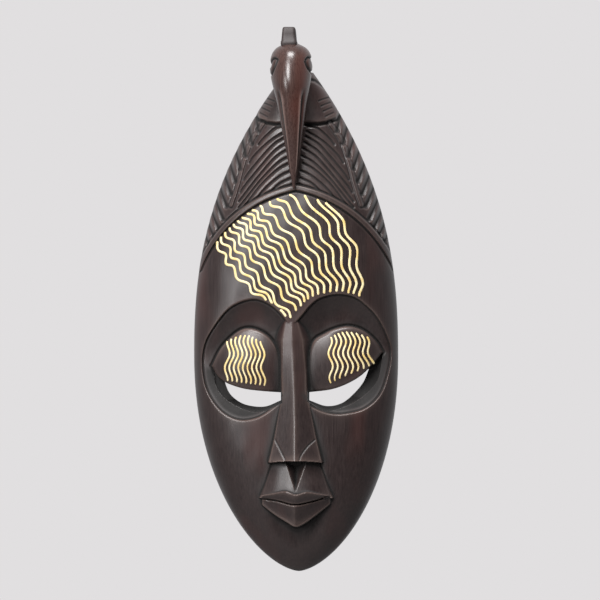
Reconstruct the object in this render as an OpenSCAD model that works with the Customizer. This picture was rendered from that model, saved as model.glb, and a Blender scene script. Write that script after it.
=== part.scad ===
// Carved wall mask: a hollowed block with a bird's head pegged on its crown, cream
// filler in its line grooves and a steel keyhole plate let into its back.
// X runs to the viewer's right, the face looks toward -Y and Z is up. The origin is
// the round hole of the keyhole plate, on the wall plane y = 0. Inside the modules
// heights are measured from the chin tip and depths forward from the wall plane.

/* [Block] */
// Width of the face at its widest
face_w = 180; // [172:1:188]
// Height at which the two curved edges of the crown would meet
apex_z = 455; // [450:1:460]
// Height of the flat seat that the bird's neck stands on
seat_z = 439; // [436:1:440]
// Depth of the block at the middle of the forehead
forehead_d = 52; // [50:1:54]
// Depth of the straight edge that runs round the block
edge_d = 11; // [9:1:13]
// Sideways lean that hand carving left in the chin and the crown
lean = 2.5; // [0:0.5:4]

/* [Back] */
// Width of the flat rim round the hollow
rim_w = 10; // [8:1:12]
// Depth of the hollow at its middle
hollow_d = 26; // [22:1:28]
// Height of the keyhole plate's round hole above the chin tip
hanger_z = 380; // [376:1:384]

/* [Face] */
// Depth of the step from the brow down into an eye socket
socket_step = 5; // [3:0.5:6]
// Further depth of the socket's bowl
socket_bowl = 8; // [6:0.5:10]
// Height of an eyelid's dome above the bowl
lid_rise = 11; // [9:0.5:12]
// Depth at the tip of the nose
nose_d = 66; // [62:1:70]
// Height of the raised band over the forehead
band_rise = 2; // [1.5:0.5:3]

/* [Cream lines] */
// Width of a forehead line
line_w = 2.4; // [2:0.1:2.8]
// Width of an eyelid line
lid_line_w = 1.8; // [1.6:0.1:2.2]
// Depth of filler below the wood's surface
line_sink = 1.5; // [1.2:0.1:2]
// Height of filler above the wood's surface
line_proud = 0.4; // [0.2:0.1:0.5]

/* [Bird] */
// Half width of the head
head_hw = 18.5; // [17:0.5:20]
// Diameter of the dowel under the neck
dowel_d = 8; // [6:0.5:10]
// Length of that dowel
dowel_len = 36; // [30:1:38]
// Height of the comb above the head
comb_h = 14; // [12:1:16]

/* [Hanger] */
// Thickness of the steel plate
plate_t = 1.5; // [1:0.1:2]
// Radius of the round hole of the keyhole
keyhole_r = 4.5; // [4:0.1:5]
// Width of the keyhole's slot
slot_w = 4.4; // [3.8:0.1:4.6]
// Distance from the round hole to each screw
screw_x = 16; // [15:0.5:18]

/* [Hidden] */

$fn = 24;
wide_z = 190;                   // where the face is widest
cheek_z = 150;                  // where the cheeks reach their full depth
cheek_d = 48;
brow_z = 290;                   // where the forehead is deepest
crown_fall = 24;                // how far the crown falls back to the apex
carve_x = 1.3;                  // the features sit this far right of the block's middle
fit = 0.15;                     // clearance round pegs and screws
dark_wood = "#3b2f2e";
red_wood = "#4a3230";
cream = "#f1e6b9";
steel = "#9a9a98";

// ---- curves and skins ----

function smooth(t) = t * t * (3 - 2 * t);

function spline(a, b, c, d, t) =
    0.5 * (2 * b + (c - a) * t + (2 * a - 5 * b + 4 * c - d) * t * t
           + (3 * b - a - 3 * c + d) * t * t * t);

// Smooth open curve through the points p, with n steps between neighbours.
function curve(p, n) =
    let (m = len(p))
    concat([for (i = [0 : m - 2]) for (k = [0 : n - 1])
                spline(p[max(i - 1, 0)], p[i], p[i + 1], p[min(i + 2, m - 1)], k / n)],
           [p[m - 1]]);

function reversed(p) = [for (i = [len(p) - 1 : -1 : 0]) p[i]];

// Sideways direction of a path at point i, to the right of its travel.
function side(p, i) =
    let (a = p[max(i - 1, 0)], b = p[min(i + 1, len(p) - 1)], t = (b - a) / norm(b - a))
    [t[1], -t[0]];

// Closed skin over rings of equal point count, flat across both ends.
module loft(rings) {
    n = len(rings[0]);
    m = len(rings);
    sides = [for (i = [0 : m - 2]) for (j = [0 : n - 1])
                 let (a = i * n + j, b = i * n + (j + 1) % n)
                 each [[a, a + n, b + n], [a, b + n, b]]];
    ends = [[for (j = [0 : n - 1]) j], [for (j = [n - 1 : -1 : 0]) (m - 1) * n + j]];
    polyhedron([for (ring = rings) each ring], concat(sides, ends), convexity = 10);
}

// Convex solid over a few points given as [x, height, depth].
module facets(p) {
    hull()
        polyhedron([for (q = p) [q[0], -q[2], q[1]]],
                   [for (i = [0 : len(p) - 3]) [i, i + 1, i + 2]]);
}

// Bar of width w along a path on the face, from sink below a surface to lift above it.
module bar(path, w, sink, lift, skin_d) {
    loft([for (i = [0 : len(path) - 1])
        let (s = side(path, i) * w / 2, l = path[i] - s, r = path[i] + s,
             d = skin_d(path[i][0], path[i][1]))
        [[l[0], -d - lift, l[1]], [r[0], -d - lift, r[1]],
         [r[0], -d + sink, r[1]], [l[0], -d + sink, l[1]]]]);
}

// V-section bar along a path on the face: w wide at the height lift above a surface,
// tapering to an edge at the depth sink below it.
module vee(path, w, sink, lift, skin_d) {
    loft([for (i = [0 : len(path) - 1])
        let (s = side(path, i) * w / 2, l = path[i] - s, r = path[i] + s,
             d = skin_d(path[i][0], path[i][1]))
        [[l[0], -d - lift, l[1]], [r[0], -d - lift, r[1]], [path[i][0], -d + sink, path[i][1]]]]);
}

// ---- surfaces of the block ----

function middle(z) = lean * pow((z - 210) / 210, 2);

function half_width(z) = z < wide_z
    ? face_w / 2 * pow(1 - pow((wide_z - z) / wide_z, 2.1), 0.62)
    : face_w / 2 * (1 - pow((z - wide_z) / (apex_z - wide_z), 2.4));

function spine(z) =
    z < cheek_z ? edge_d + (cheek_d - edge_d) * sqrt(1 - pow((cheek_z - z) / cheek_z, 2.2))
    : z < brow_z ? cheek_d + (forehead_d - cheek_d) * smooth((z - cheek_z) / (brow_z - cheek_z))
    : forehead_d - crown_fall * pow((z - brow_z) / (apex_z - brow_z), 1.6);

function dome(x, z) =
    let (u = min(1, abs(x - middle(z)) / max(half_width(z), 0.5)))
    edge_d + (spine(z) - edge_d) * sqrt(1 - pow(u, 2.4));

// Rows of the block, closer together where the outline turns quickly.
row_z = concat([0.4, 3, 8, 15], [for (i = [1 : 20]) 13 + i * 20.3], [seat_z]);

module block() {
    columns = 22;
    loft([for (z = row_z)
        let (h = half_width(z), m = middle(z))
        concat([for (j = [0 : columns])
                    let (x = m + h * sin(-90 + 180 * j / columns)) [x, -dome(x, z), z]],
               [[m + h, 0, z], [m - h, 0, z]])]);
}

module hollow() {
    columns = 10;
    rows = 12;
    low = 27;
    high = 326;
    loft([for (i = [0 : rows])
        let (t = -cos(180 * i / rows), z = (low + high) / 2 + (high - low) / 2 * t,
             h = (half_width(z) - rim_w) * pow(1 - pow(abs(t), 5) * 0.9, 0.5),
             d = hollow_d * pow(1 - pow(abs(t), 4) * 0.96, 0.5))
        concat([for (j = [0 : columns])
                    let (a = -90 + 180 * j / columns)
                    [middle(z) + h * sin(a), -d * pow(max(cos(a), 0), 0.6), z]],
               [[middle(z) + h, 1, z], [middle(z) - h, 1, z]])]);
}

// ---- eyes ----

socket_mid = [44.7, 189];       // middle of a socket, mirrored for the left eye
socket_r = [38.4, 52.8];

// Outlines run from the outer corner along the lower edge to the inner corner.
left_lower = [[-75, 181], [-69.7, 172], [-61.8, 166], [-46.8, 161], [-30, 158.8], [-11.5, 157.5]];
left_upper = [[-11.5, 157.5], [-14, 188], [-22, 204.7], [-35.3, 213.5], [-49.4, 212.7],
              [-65.3, 198.5], [-75, 181]];
right_lower = [[8.8, 157.5], [31.8, 160.6], [49.4, 167.7], [61.8, 177], [75.9, 193.2]];
right_upper = [[75.9, 193.2], [69.7, 203], [58.2, 212.7], [43.2, 216.2], [24.7, 210],
               [12.4, 197.7], [8.8, 157.5]];
// Lower edges of the slits, at the face and at the hollow.
left_slit = [[-73, 178], [-72, 166], [-64, 153.5], [-47, 143.5], [-30, 141.2], [-12, 149]];
left_slit_back = [[-64, 168], [-60, 158], [-53, 151], [-43, 146.5], [-28, 145.5], [-14, 151]];
right_slit = [[10, 150.5], [25.6, 142], [43.2, 146], [60, 156], [71, 169], [75, 189]];
right_slit_back = [[11, 151], [25.6, 146], [38.8, 148.2], [49.4, 156.2], [58.2, 166.8], [63, 178]];

function carved(p) = [for (q = p) [q[0] + carve_x, q[1]]];

function socket_q(x, z, s) =
    norm([(x - carve_x - s * socket_mid[0]) / socket_r[0], (z - socket_mid[1]) / socket_r[1]]);

function socket_floor(x, z, s) =
    dome(x, z) - socket_step - socket_bowl * (1 - pow(min(1, socket_q(x, z, s)), 2));

function lid_skin(x, z, s) =
    let (q = norm([(x - carve_x - s * 43.5) / 40, (z - 186) / 36]))
    dome(x, z) - socket_step - socket_bowl + 2 + lid_rise * (1 - 0.72 * pow(min(1, q), 2));

// Closed outline at share k of its size, put at the depth that a surface gives.
function shrunk(outline, k, skin_d, extra) =
    let (c = [for (a = [0, 1]) (max([for (p = outline) p[a]]) + min([for (p = outline) p[a]])) / 2])
    [for (p = outline) let (q = c + k * (p - c)) [q[0], -skin_d(q[0], q[1]) - extra, q[1]]];

module socket(s) {
    rim = [for (i = [0 : 23]) let (a = i * 15)
           [carve_x + s * socket_mid[0] + socket_r[0] * cos(a), socket_mid[1] + socket_r[1] * sin(a)]];
    floor_d = function (x, z) socket_floor(x, z, s);
    loft([for (k = [0.05, 0.55, 1]) shrunk(rim, k, floor_d, 0),
          [for (p = rim) [p[0], -90, p[1]]]]);
}

module lid(lower, upper, s) {
    low = curve(carved(lower), 2);
    high = curve(carved(upper), 2);
    rim = concat([for (i = [0 : len(low) - 2]) low[i]], [for (i = [0 : len(high) - 2]) high[i]]);
    skin = function (x, z) lid_skin(x, z, s);
    loft([shrunk(rim, 1, skin, -9), for (k = [1, 0.77, 0.43, 0.05]) shrunk(rim, k, skin, 0)]);
}

// Hole from the hollow to the socket under a lid's straight lower edge.
module slit(lid_edge, front, back, s) {
    steps = 10;
    edge = curve(carved(lid_edge), 6);
    loft([for (r = [[back, 8], [back, 24], [front, 36], [front, 70]])
        let (low = resample(curve(carved(r[0]), 6), steps),
             high = [for (q = reversed(low)) [q[0], lookup(q[0], edge) + 1]])
        [for (p = concat(low, high)) [p[0], -r[1], p[1]]]]);
}

// n + 1 points spread evenly along a polyline by x.
function resample(p, n) =
    [for (k = [0 : n])
        let (x = p[0][0] + (p[len(p) - 1][0] - p[0][0]) * k / n) [x, lookup(x, p)]];

// ---- nose, muzzle and lips ----

// Height, half width, ridge depth of the nose from the brow down to its tip.
nose_stations = [[219, 2, 0.75], [204, 5, 0.775], [177, 8.6, 0.8], [158, 9.7, 0.84],
                 [124, 16.8, 0.92], [98.5, 22.3, 1]];

function nose_x(z) = carve_x - 0.5 - 3.5 * pow(max(z - 100, 0) / 120, 2);

module nose() {
    for (i = [0 : len(nose_stations) - 2])
        facets([for (s = [nose_stations[i], nose_stations[i + 1]])
            let (x = nose_x(s[0]), d = s[2] * nose_d, drop = 0.62 * s[1])
            each [[x, s[0], d], [x - s[1], s[0], d - drop], [x + s[1], s[0], d - drop],
                  [x - s[1] - 1, s[0], 24], [x + s[1] + 1, s[0], 24]]]);
}

module muzzle() {
    x = carve_x;
    facets([[x - 20, 98, 45], [x + 20, 98, 45], [x - 7, 98, 52], [x + 8, 98, 52],
            [x - 29, 71, 45], [x + 29, 71, 45], [x - 9, 71, 56], [x + 9, 71, 56],
            [x - 20, 98, 24], [x + 20, 98, 24], [x - 29, 71, 24], [x + 29, 71, 24]]);
}

module lips() {
    x = carve_x;
    // upper lip, an overhanging roof with a ridge
    facets([[x - 31, 67, 45], [x + 31, 67, 45], [x - 15, 72, 57], [x + 15, 72, 57],
            [x, 70, 60.5], [x - 14, 63.5, 53], [x + 14, 63.5, 53], [x, 61, 56],
            [x - 31, 67, 24], [x + 31, 67, 24], [x, 60, 24]]);
    // lower lip, a shield coming to a point above the chin
    facets([[x - 30, 61, 44], [x + 30, 61, 44], [x - 15, 60.5, 54], [x + 15, 60.5, 54],
            [x, 59, 58], [x, 44, 52], [x - 14, 50, 47], [x + 14, 50, 47],
            [x - 30, 61, 24], [x + 30, 61, 24], [x, 42, 24]]);
}

module philtrum() {
    x = carve_x;
    facets([[x - 8.5, 97, 62], [x + 8.5, 97, 62], [x, 72.5, 61.5], [x - 7, 95, 50],
            [x + 7, 95, 50], [x, 76, 54]]);
}

module chin_hollow() {
    translate([carve_x, -53, 38])
        scale([1.5, 0.75, 0.5])
            sphere(r = 20, $fn = 20);
}

// ---- crown ----

band_r = 118.5;                 // radius of each half of the band's pointed arch
band_x = 22.5;
band_z = 220.7;
band_w = 4.4;
beak_x = 10.5;                  // the feathers stop this far beside the beak
groove_w = 2;                   // width and depth of a feather groove
groove_d = 1.1;

// Height of the band's middle line at x.
function band_at(x) = band_z + sqrt(band_r * band_r - pow(abs(x - carve_x) + band_x, 2));

// One half of the band from the peak to the rim, s = -1 on the left and 1 on the right.
function band_half(s) =
    [for (i = [0 : 12]) let (a = 79 - 54 * i / 12)
        [carve_x + s * (band_r * cos(a) - band_x), band_z + band_r * sin(a)]];

function band_path() =
    concat([for (i = [12 : -1 : 1]) band_half(-1)[i]], [[carve_x, band_z + 116.4]],
           [for (i = [1 : 12]) band_half(1)[i]]);

// Height and length of each long feather groove, counted down from the bird's head.
feathers = [[391, 24], [386, 32], [381, 40], [375, 49], [368, 50], [360, 36], [352, 26], [345, 17]];

module feather_grooves(s) {
    for (f = feathers)
        vee([for (t = [0, 0.5, 1])
            let (turn = 30 + 24 * t)
            [carve_x + s * (beak_x + f[1] * t * cos(30 + 12 * t)), f[0] - f[1] * t * sin(turn)]],
            groove_w, groove_d, groove_d, function (x, z) dome(x, z));
}

// The ridge between the long feathers and the short ones of the wing's edge.
ridge = [[29, 394], [40, 377], [46.5, 358], [52, 337], [57, 322]];

module wing_ridge(s) {
    bar(curve([for (p = ridge) [carve_x + s * p[0], p[1]]], 2), 2.2, 3, 1, function (x, z) dome(x, z));
}

module edge_grooves(s) {
    for (i = [0 : 8]) {
        z = 402 - 11.5 * i;
        x = half_width(z) - 0.5;
        low = z - 18 - 0.4 * i;
        vee([for (t = [0, 1]) [middle(z) + s * (x - (1.5 + 0.55 * i) * t), z + (low - z) * t]],
            groove_w + 0.4, 1.6, 1.6, function (u, v) dome(u, v));
    }
}

module shoulder(s) {
    m = carve_x;
    facets([[m + s * 6, 430, 40], [m + s * 20, 424, 33], [m + s * 30, 408, 30], [m + s * 29, 400, 33],
            [m + s * 21, 395, 40], [m + s * 6, 394, 43], [m + s * 6, 430, 10], [m + s * 20, 424, 10],
            [m + s * 30, 408, 10], [m + s * 21, 395, 10], [m + s * 6, 394, 10]]);
}

// ---- cream lines ----

// One row a line: start x under the band, end x, end height, phase, waves, slowing.
line_rows = [
    [-69.5, -26.0, 238.5, -0.97, 5.6, 1.3], [-66.0, -20.3, 236.0, -0.76, 5.4, 1.0],
    [-62.2, -4.4, 223.2, -0.63, 7.0, 1.9], [-58.2, 0.2, 229.4, -0.65, 7.0, 1.9],
    [-54.7, 4.6, 233.4, -0.60, 7.0, 1.9], [-51.1, 7.6, 237.0, -0.57, 7.0, 1.9],
    [-47.4, 10.8, 239.4, -0.50, 7.0, 1.9], [-43.0, 15.0, 241.8, -0.48, 7.0, 1.9],
    [-38.6, 19.6, 243.5, -0.20, 6.4, 1.9], [-31.7, 24.8, 244.6, -0.05, 6.3, 1.7],
    [-22.8, 30.0, 245.6, -0.32, 3.9, 0.0], [-16.6, 35.4, 246.2, -0.22, 3.75, 0.0],
    [-5.8, 40.6, 246.2, -0.36, 4.96, 1.25], [7.4, 45.8, 244.8, 0.01, 4.65, 1.17],
    [18.6, 50.3, 244.2, -0.49, 3.1, 0.0], [25.7, 55.5, 242.0, -0.46, 3.1, 0.0]];

// Waving path of forehead line i: a bowed base line with a sine wave across it.
function line_path(i) =
    let (r = line_rows[i], a = [r[0], band_at(r[0] + carve_x) - 5], e = [r[1], r[2]],
         across = side([a, e], 0), bow = min(17, 2.2 * i - 7),
         tall = 2.5 - 0.1 * max(0, i - 9), steps = ceil(3.5 * (r[4] - r[5])))
    [for (k = [0 : steps])
        let (t = k / steps, p = a * (1 - t) * (1 - t) + e * t * t
                 + ((a + e) / 2 - across * bow) * 2 * t * (1 - t))
        p - across * tall * sin(360 * (r[3] + r[4] * t - r[5] * t * t))];

module forehead_strands() {
    flat = function (x, z) dome(x, z);
    for (i = [0 : len(line_rows) - 1])
        vee(carved(line_path(i)), line_w, line_sink, line_proud, flat);
    vee(carved([[-13.7, 230.5], [-11, 228], [-8.6, 224.5]]), line_w, line_sink, line_proud, flat);
}

// The nine upright waving lines of a lid. They run from the heights top[2] and up, spread
// from x top[0] to top[1], down to the foot; their bends are half a wave apart.
module lid_strands(s, top, foot, crest, wave) {
    skin = function (x, z) lid_skin(x, z, s);
    for (i = [0 : 8]) {
        a = [top[0] + (top[1] - top[0]) * i / 8, top[2] + top[3] * sin(22.5 * i)];
        e = [foot[0] + (foot[1] - foot[0]) * i / 8, foot[2] + (foot[3] - foot[2]) * i / 8];
        bends = [for (n = [1 : -1 : -3]) crest + n * wave / 2];
        heights = concat([a[1]], [for (z = bends) if (z < a[1] - 3 && z > e[1] + 3) z], [e[1]]);
        vee([for (z = heights)
            [carve_x + a[0] + (e[0] - a[0]) * (a[1] - z) / (a[1] - e[1])
             + 1.7 * cos(360 * (z - crest) / wave), z]],
            lid_line_w, line_sink, line_proud, skin);
    }
}

module left_strands() {
    lid_strands(-1, [-59, -29.5, 203, 5.5], [-62, -28.5, 168, 164], 191.5, 23);
}

module right_strands() {
    lid_strands(1, [29.5, 61, 207, 4.5], [31, 66.5, 166, 183], 203, 21.6);
}

// ---- back fittings ----

plate_w = 2 * screw_x + 10;
plate_h = 17;
screw_r = 1.5;
screw_len = 13;
head_r = 3;
head_len = 1.5;

module plate_blank(grow) {
    hull()
        for (x = [-1, 1])
            translate([x * (plate_w - plate_h) / 2, 0, 0])
                rotate([90, 0, 0])
                    cylinder(r = plate_h / 2 + grow, h = plate_t + grow);
}

module keyhole(depth) {
    translate([0, 1, 0])
        rotate([90, 0, 0])
            cylinder(r = keyhole_r, h = depth + 1, $fn = 64);
    translate([-slot_w / 2, -depth, 0])
        cube([slot_w, depth + 1, 7.5]);
}

module screw_shape(grow) {
    rotate([90, 0, 0]) {
        cylinder(r = screw_r + grow, h = screw_len + grow);
        cylinder(r1 = head_r + grow, r2 = screw_r + grow, h = head_len);
    }
}

module at_screws() {
    for (s = [-1, 1])
        translate([s * screw_x, 0, 0])
            children();
}

// ---- bird ----

bird_x = -2.6;
neck_d = 17;                    // depth of the dowel and the neck's middle
comb_x = -4.4;
comb_d = 54;
head_top = 462;

// Height, half width as a share, front and back depth, sideways shift.
bird_rings = [[336, 0.04, 54, 52.6, 2.3], [342, 0.1, 56.3, 52, 2.2], [352, 0.2, 60, 52, 2.1],
              [367, 0.33, 65.5, 52, 2], [382, 0.46, 70.5, 52, 1.6], [397, 0.59, 75, 51, 1.2],
              [411, 0.71, 79, 47, 0.8], [423, 0.85, 82, 41, 0.4], [433, 0.95, 82, 35, 0],
              [443, 1, 80, 30, 0], [452, 0.93, 76.5, 30, 0], [458, 0.72, 71, 33, 0],
              [head_top, 0.34, 62, 42, 0]];

module head_and_beak() {
    loft([for (r = bird_rings)
        let (w = head_hw * r[1], c = (r[2] + r[3]) / 2, t = (r[2] - r[3]) / 2)
        [for (i = [0 : 27]) let (a = 360 * i / 28)
            [bird_x + r[4] + w * sin(a), -c - t * cos(a), r[0]]]]);
}

module neck() {
    hull() {
        translate([bird_x + 3, -neck_d, seat_z])
            scale([1, 1.15, 1])
                cylinder(r = 10, h = 1);
        translate([bird_x + 2, -neck_d - 4, 450])
            sphere(r = 9.5);
        translate([bird_x, -38, 447])
            sphere(r = 11);
    }
}

module dowel_shape(grow) {
    translate([bird_x + 3, -neck_d, seat_z - dowel_len / 2 - 5 - grow])
        cylinder(r = dowel_d / 2 + grow, h = dowel_len - 6 + 2 * grow);
}

module comb_tenon(grow) {
    translate([comb_x, -comb_d, head_top - 8 - grow])
        cylinder(r = 2.5 + grow, h = 9 + grow);
}

// ---- sub-parts ----

// The block with everything that is carved into it.
module mask_body() {
    color(dark_wood)
        translate([0, 0, -hanger_z])
            difference() {
                union() {
                    difference() {
                        block();
                        socket(-1);
                        socket(1);
                        chin_hollow();
                    }
                    lid(left_lower, left_upper, -1);
                    lid(right_lower, right_upper, 1);
                    nose();
                    difference() {
                        muzzle();
                        philtrum();
                    }
                    lips();
                    bar(band_path(), band_w, 6, band_rise, function (x, z) dome(x, z));
                    for (s = [-1, 1]) {
                        shoulder(s);
                        wing_ridge(s);
                    }
                }
                hollow();
                slit(left_lower, left_slit, left_slit_back, -1);
                slit(right_lower, right_slit, right_slit_back, 1);
                for (s = [-1, 1]) {
                    feather_grooves(s);
                    edge_grooves(s);
                }
                forehead_strands();
                left_strands();
                right_strands();
                dowel_shape(fit);
                translate([0, 0, hanger_z]) {
                    translate([0, 0.2, 0])
                        plate_blank(0.2);
                    translate([-9, -14, -7])
                        cube([18, 15, 17]);
                    at_screws()
                        screw_shape(fit);
                }
            }
}

module bird_head() {
    color(red_wood)
        translate([0, 0, -hanger_z])
            difference() {
                union() {
                    head_and_beak();
                    neck();
                }
                dowel_shape(fit);
                comb_tenon(fit);
            }
}

// A small upright crest whose round tenon goes into the top of the head.
module bird_comb() {
    color(dark_wood)
        translate([0, 0, -hanger_z]) {
            facets([for (p = [[7, head_top - 0.5, 12], [5.6, head_top + comb_h - 2, 10],
                              [4, head_top + comb_h, 8.5]])
                for (s = [-1, 1]) for (f = [-1, 1])
                    [comb_x + s * p[0], p[1], comb_d + f * p[2]]]);
            comb_tenon(0);
        }
}

module head_dowel() {
    color("#8a6a48")
        translate([0, 0, -hanger_z])
            dowel_shape(0);
}

module forehead_lines() {
    color(cream)
        translate([0, 0, -hanger_z])
            forehead_strands();
}

module left_lid_lines() {
    color(cream)
        translate([0, 0, -hanger_z])
            left_strands();
}

module right_lid_lines() {
    color(cream)
        translate([0, 0, -hanger_z])
            right_strands();
}

// Let in flush with the back; the wall screw's head slides up behind the slot.
module hanger_plate() {
    color(steel)
        difference() {
            plate_blank(0);
            keyhole(plate_t + 1);
            at_screws()
                screw_shape(0.05);
        }
}

module hanger_screws() {
    color(steel)
        at_screws()
            screw_shape(0);
}

mask_body();
bird_head();
bird_comb();
head_dowel();
forehead_lines();
left_lid_lines();
right_lid_lines();
hanger_plate();
hanger_screws();
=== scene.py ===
import math

import bmesh
import bpy
import numpy as np
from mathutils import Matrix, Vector


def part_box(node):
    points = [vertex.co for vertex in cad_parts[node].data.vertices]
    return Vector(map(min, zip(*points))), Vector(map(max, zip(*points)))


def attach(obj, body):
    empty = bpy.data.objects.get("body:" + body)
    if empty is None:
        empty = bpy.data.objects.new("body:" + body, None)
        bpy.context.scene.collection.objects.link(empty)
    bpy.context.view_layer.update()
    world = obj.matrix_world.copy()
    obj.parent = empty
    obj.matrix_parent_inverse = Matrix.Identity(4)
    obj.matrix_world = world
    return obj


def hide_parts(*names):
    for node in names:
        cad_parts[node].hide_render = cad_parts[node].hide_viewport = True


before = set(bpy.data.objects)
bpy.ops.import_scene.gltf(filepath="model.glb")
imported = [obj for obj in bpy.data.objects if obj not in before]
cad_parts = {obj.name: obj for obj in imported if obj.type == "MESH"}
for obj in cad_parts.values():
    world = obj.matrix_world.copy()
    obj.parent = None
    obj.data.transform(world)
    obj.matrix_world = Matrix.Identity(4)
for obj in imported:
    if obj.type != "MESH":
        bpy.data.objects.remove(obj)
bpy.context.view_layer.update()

# ---- The carved block --------------------------------------------------------
# One block of close-grained hardwood, carved with gouges to a long pointed oval:
# a low dome of forehead and cheeks, two sunk eye sockets and a feathered crown.
# Sizes are in millimetres, heights from the chin tip, depths forward from the wall.

MM = 0.001
FIRST_ROW = 0.4
HOLE_HEIGHT = FIRST_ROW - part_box("mask_body")[0].z / MM
FACE_WIDTH, WIDEST, APEX, SEAT = 180.0, 190.0, 455.0, 439.0
EDGE_DEPTH, CHEEK_DEPTH, CHEEK_HEIGHT = 11.0, 48.0, 150.0
FOREHEAD_DEPTH, BROW_HEIGHT, CROWN_FALL = 52.0, 290.0, 24.0
LEAN, CENTRE = 2.5, 1.3
COLUMNS, ROW_STEP = 400, 0.6


def smooth(t):
    t = np.clip(t, 0, 1)
    return t * t * (3 - 2 * t)


def middle(z):
    return LEAN * ((z - 210) / 210) ** 2


def half_width(z):
    below = 1 - (np.clip(WIDEST - z, 0, WIDEST) / WIDEST) ** 2.1
    above = 1 - (np.clip(z - WIDEST, 0, None) / (APEX - WIDEST)) ** 2.4
    return FACE_WIDTH / 2 * np.where(z < WIDEST, np.clip(below, 0, 1) ** 0.62, above)


def spine(z):
    low = np.clip((CHEEK_HEIGHT - z) / CHEEK_HEIGHT, 0, 1)
    chin = EDGE_DEPTH + (CHEEK_DEPTH - EDGE_DEPTH) * np.sqrt(1 - low**2.2)
    rise = smooth((z - CHEEK_HEIGHT) / (BROW_HEIGHT - CHEEK_HEIGHT))
    face = CHEEK_DEPTH + (FOREHEAD_DEPTH - CHEEK_DEPTH) * rise
    fall = np.clip((z - BROW_HEIGHT) / (APEX - BROW_HEIGHT), 0, 1)
    crown = FOREHEAD_DEPTH - CROWN_FALL * fall**1.6
    return np.where(z < CHEEK_HEIGHT, chin, np.where(z < BROW_HEIGHT, face, crown))


def dome(x, z):
    u = np.clip(np.abs(x - middle(z)) / np.maximum(half_width(z), 0.5), 0, 1)
    return EDGE_DEPTH + (spine(z) - EDGE_DEPTH) * np.sqrt(1 - u**2.4)


def curve(points, steps):
    """A smooth open line through the points, with that many steps between neighbours."""
    p = np.array(points, float)
    p = np.vstack([2 * p[0] - p[1], p, 2 * p[-1] - p[-2]])
    t = np.arange(steps)[:, None] / steps
    parts = []
    for a, b, c, d in zip(p[:-3], p[1:-2], p[2:-1], p[3:]):
        parts.append(0.5 * (2 * b + (c - a) * t + (2 * a - 5 * b + 4 * c - d) * t**2
                            + (3 * b - a - 3 * c + d) * t**3))
    return np.vstack(parts + [p[-2:-1]])


rows = np.concatenate([[0.02, 0.06, 0.14, 0.28, 0.5, 0.8, 1.15, 1.6], np.arange(2.1, SEAT, ROW_STEP),
                       [SEAT]])
turn = np.linspace(-math.pi / 2, math.pi / 2, COLUMNS + 1)
Z = np.repeat(rows[:, None], COLUMNS + 1, axis=1)
X = middle(Z) + half_width(Z) * np.sin(turn)[None, :]
depth = dome(X, Z)


def distance(line, reach):
    """Distance of every surface point from a line, no more than reach."""
    line = np.asarray(line, float)
    low, high = line.min(0) - reach, line.max(0) + reach
    near = (X > low[0]) & (X < high[0]) & (Z > low[1]) & (Z < high[1])
    px, pz = X[near], Z[near]
    best = np.full(px.shape, float(reach))
    for a, b in zip(line[:-1], line[1:]):
        d = b - a
        t = np.clip(((px - a[0]) * d[0] + (pz - a[1]) * d[1]) / max(d @ d, 1e-9), 0, 1)
        best = np.minimum(best, np.hypot(px - a[0] - t * d[0], pz - a[1] - t * d[1]))
    out = np.full(X.shape, float(reach))
    out[near] = best
    return out


def inset(outline, reach):
    """Distance inside a closed outline, below zero outside it."""
    ring = np.vstack([outline, outline[:1]])
    odd = np.zeros(X.shape, bool)
    for a, b in zip(ring[:-1], ring[1:]):
        crosses = (a[1] > Z) != (b[1] > Z)
        odd ^= crosses & (X < a[0] + (Z - a[1]) * (b[0] - a[0]) / (b[1] - a[1] + 1e-9))
    return np.where(odd, 1, -1) * distance(ring, reach)


def groove(line, width, deep):
    """Cuts a V along a line."""
    global depth
    depth = depth - deep * np.clip(1 - distance(line, width) / (width / 2), 0, 1)


# ---- Eye sockets -------------------------------------------------------------
# Two bowls cut with a curved gouge. Their upper edges meet in a V at the brow, and a
# chased line runs along each lower edge.

sockets = [
    [(-4.2, 215), (-5.7, 218.5), (-13.1, 228), (-23.3, 236), (-35, 239.7), (-48.2, 236.8),
     (-59.9, 229.4), (-71.6, 214.9), (-79.6, 200.2), (-82.1, 181.8), (-77.7, 159.7),
     (-65.3, 142.1), (-49.4, 134.1), (-33.5, 135.9), (-21.2, 143), (-11.5, 150.9), (-2, 156)],
    [(-2.8, 215), (6, 225), (14.7, 235.3), (23.6, 241.2), (38.2, 244.1), (52.8, 241.2),
     (64.5, 232.4), (73.3, 222.1), (80.6, 207.5), (84.3, 192.9), (81.2, 173), (74.1, 155.3),
     (60.9, 143.8), (43.2, 139.4), (28.2, 140.3), (14.1, 146.5), (2, 156)],
]
for outline in sockets:
    rim = curve(outline, 6)
    edge = inset(rim, 26.0)
    depth -= 2.6 * smooth((edge + 0.6) / 1.8)
    depth -= 9.5 * (1 - (1 - np.clip(edge / 26, 0, 1)) ** 2)
    depth -= 0.9 * np.exp(-((edge - 0.6) / 0.9) ** 2)

# ---- Eyelids -----------------------------------------------------------------
# Two domed almonds left standing in the sockets and scraped smooth, each cut off
# straight along its lower edge by the slit that the wearer looks through.

LID_CENTRES = (-43.5, 43.5)
left_lower = [(-75, 181), (-69.7, 172), (-61.8, 166), (-46.8, 161), (-30, 158.8), (-11.5, 157.5)]
left_upper = [(-11.5, 157.5), (-14, 188), (-22, 204.7), (-35.3, 213.5), (-49.4, 212.7),
              (-65.3, 198.5), (-75, 181)]
right_lower = [(8.8, 157.5), (31.8, 160.6), (49.4, 167.7), (61.8, 177), (75.9, 193.2)]
right_upper = [(75.9, 193.2), (69.7, 203), (58.2, 212.7), (43.2, 216.2), (24.7, 210),
               (12.4, 197.7), (8.8, 157.5)]


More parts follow.
